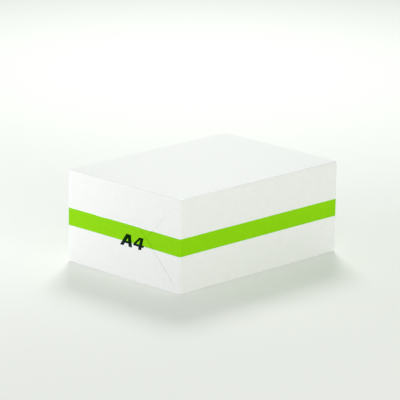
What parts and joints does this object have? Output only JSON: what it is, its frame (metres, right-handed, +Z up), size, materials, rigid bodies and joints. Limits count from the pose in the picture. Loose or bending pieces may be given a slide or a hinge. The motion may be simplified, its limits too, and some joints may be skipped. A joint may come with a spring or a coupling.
{
  "type": "ream of paper",
  "caption": "Sealed ream of A4 paper: a rectangular stack of sheets in a folded white paper wrapper with a green stripe printed round its sides.",
  "frame": {"origin": "middle of the pack's base, in the plane that it rests on", "axes": "+X along the long edge of the sheets, +Y across them, +Z up through the stack"},
  "size_m": [0.2982, 0.2102, 0.1269],
  "materials": {
    "white_wrapper": "satin",
    "green_print": "satin",
    "dark_print": "satin"
  },
  "bodies": {
    "root": {"wrapped_ream": "white_wrapper"}
  },
  "joints": []
}
